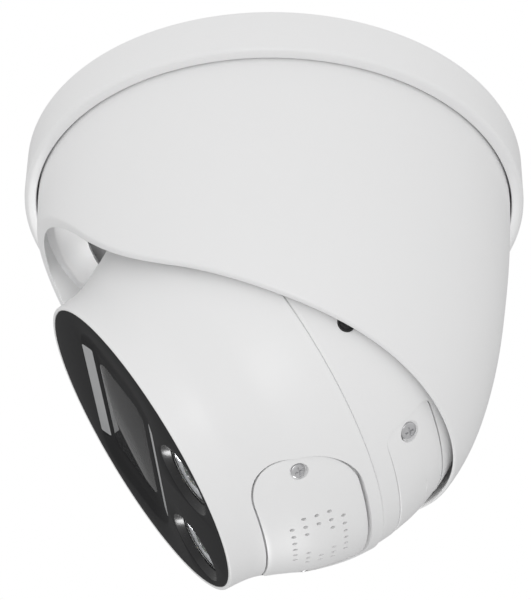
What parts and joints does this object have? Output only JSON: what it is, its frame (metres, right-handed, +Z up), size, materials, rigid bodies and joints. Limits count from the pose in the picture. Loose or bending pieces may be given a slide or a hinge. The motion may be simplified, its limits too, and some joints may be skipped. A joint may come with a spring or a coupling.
{
  "type": "security camera",
  "caption": "Ceiling turret security camera: round base, dome cover with a slanted opening, and an eyeball that pans, tilts and rotates, with lens window, illuminators and speaker door.",
  "frame": {"origin": "centre of the base's ceiling face", "axes": "+Z up out of the ceiling face, -Y is the way the eyeball looks at pan rest, +X to the right when facing it from the front"},
  "size_m": [0.122, 0.122, 0.108],
  "materials": {
    "white_paint": "satin powder coat",
    "black_panel": "gloss",
    "window_glass": "polished, tinted",
    "light_guide": "frosted",
    "lens_glass": "polished",
    "filter_glass": "polished",
    "rubber": "matt",
    "nylon": "matt",
    "steel": "zinc plated",
    "white_steel": "satin powder coat",
    "brass": "turned",
    "bare_aluminium": "extruded",
    "black_metal": "black anodised",
    "reflector": "polished",
    "circuit_board": "solder mask",
    "black_plastic": "matt",
    "white_plastic": "matt",
    "thermal_pad": "soft",
    "sensor": "gloss",
    "led_white": "phosphor",
    "led_amber": "phosphor"
  },
  "bodies": {
    "base": {"mounting_base": "white_paint", "base_gasket": "rubber", "cable_grommet": "rubber", "pan_friction_ring": "nylon", "pan_retaining_ring": "white_steel", "retaining_screws": "steel"},
    "pan": {"dome_cover": "white_paint", "yoke": "white_steel", "yoke_screws": "steel", "pivot_pins": "steel"},
    "tilt": {"tilt_cradle": "white_steel", "rotation_washer": "nylon", "wave_washer": "steel"},
    "ball": {"front_casing": "white_paint", "rear_casing": "white_paint", "casing_seal": "rubber", "casing_screws": "steel", "hub_nut": "steel", "cable_gland": "rubber", "front_panel": "black_panel", "panel_gasket": "rubber", "window_glass": "window_glass", "light_bar_top": "light_guide", "light_bar_bottom": "light_guide", "light_strip_boards": "circuit_board", "light_strip_leds": "led_white", "illuminator_lenses": "lens_glass", "illuminator_cups": "reflector", "illuminator_leds": "led_amber", "illuminator_board": "circuit_board", "lens_barrel": "black_metal", "lens_front_glass": "lens_glass", "lens_inner_glasses": "lens_glass", "lens_holder": "black_plastic", "ir_cut_filter": "filter_glass", "image_sensor": "sensor", "sensor_board": "circuit_board", "board_standoffs": "brass", "main_board": "circuit_board", "board_screws": "steel", "board_chips": "black_plastic", "thermal_pad": "thermal_pad", "heat_sink": "bare_aluminium", "speaker_door": "white_paint", "door_gasket": "rubber", "door_screws": "steel", "speaker": "black_plastic", "door_board": "circuit_board", "card_socket": "steel", "memory_card": "black_plastic", "microphone": "steel", "button_housing": "black_plastic", "access_plate": "white_paint", "access_plate_screws": "steel", "side_plug": "rubber"},
    "button": {"reset_button": "white_plastic"}
  },
  "joints": [
    {"name": "pan_turn", "type": "hinge", "parent": "base", "child": "pan", "pos_m": [0, 0, 0], "axis": [0, 0, 1], "range_deg": [-180, 180]},
    {"name": "tilt_turn", "type": "hinge", "parent": "pan", "child": "tilt", "pos_m": [0, 0, -0.0565], "axis": [1, 0, 0], "range_deg": [-23, 55]},
    {"name": "ball_rotate", "type": "hinge", "parent": "tilt", "child": "ball", "pos_m": [0, 0, -0.0565], "axis": [0, -0.8195, -0.5731], "range_deg": [-180, 180]},
    {"name": "reset_press", "type": "slide", "parent": "ball", "child": "button", "axis": [0, -0.5731, 0.8195], "range_m": [0, 0.00035], "stiffness_N_per_m": 800}
  ]
}
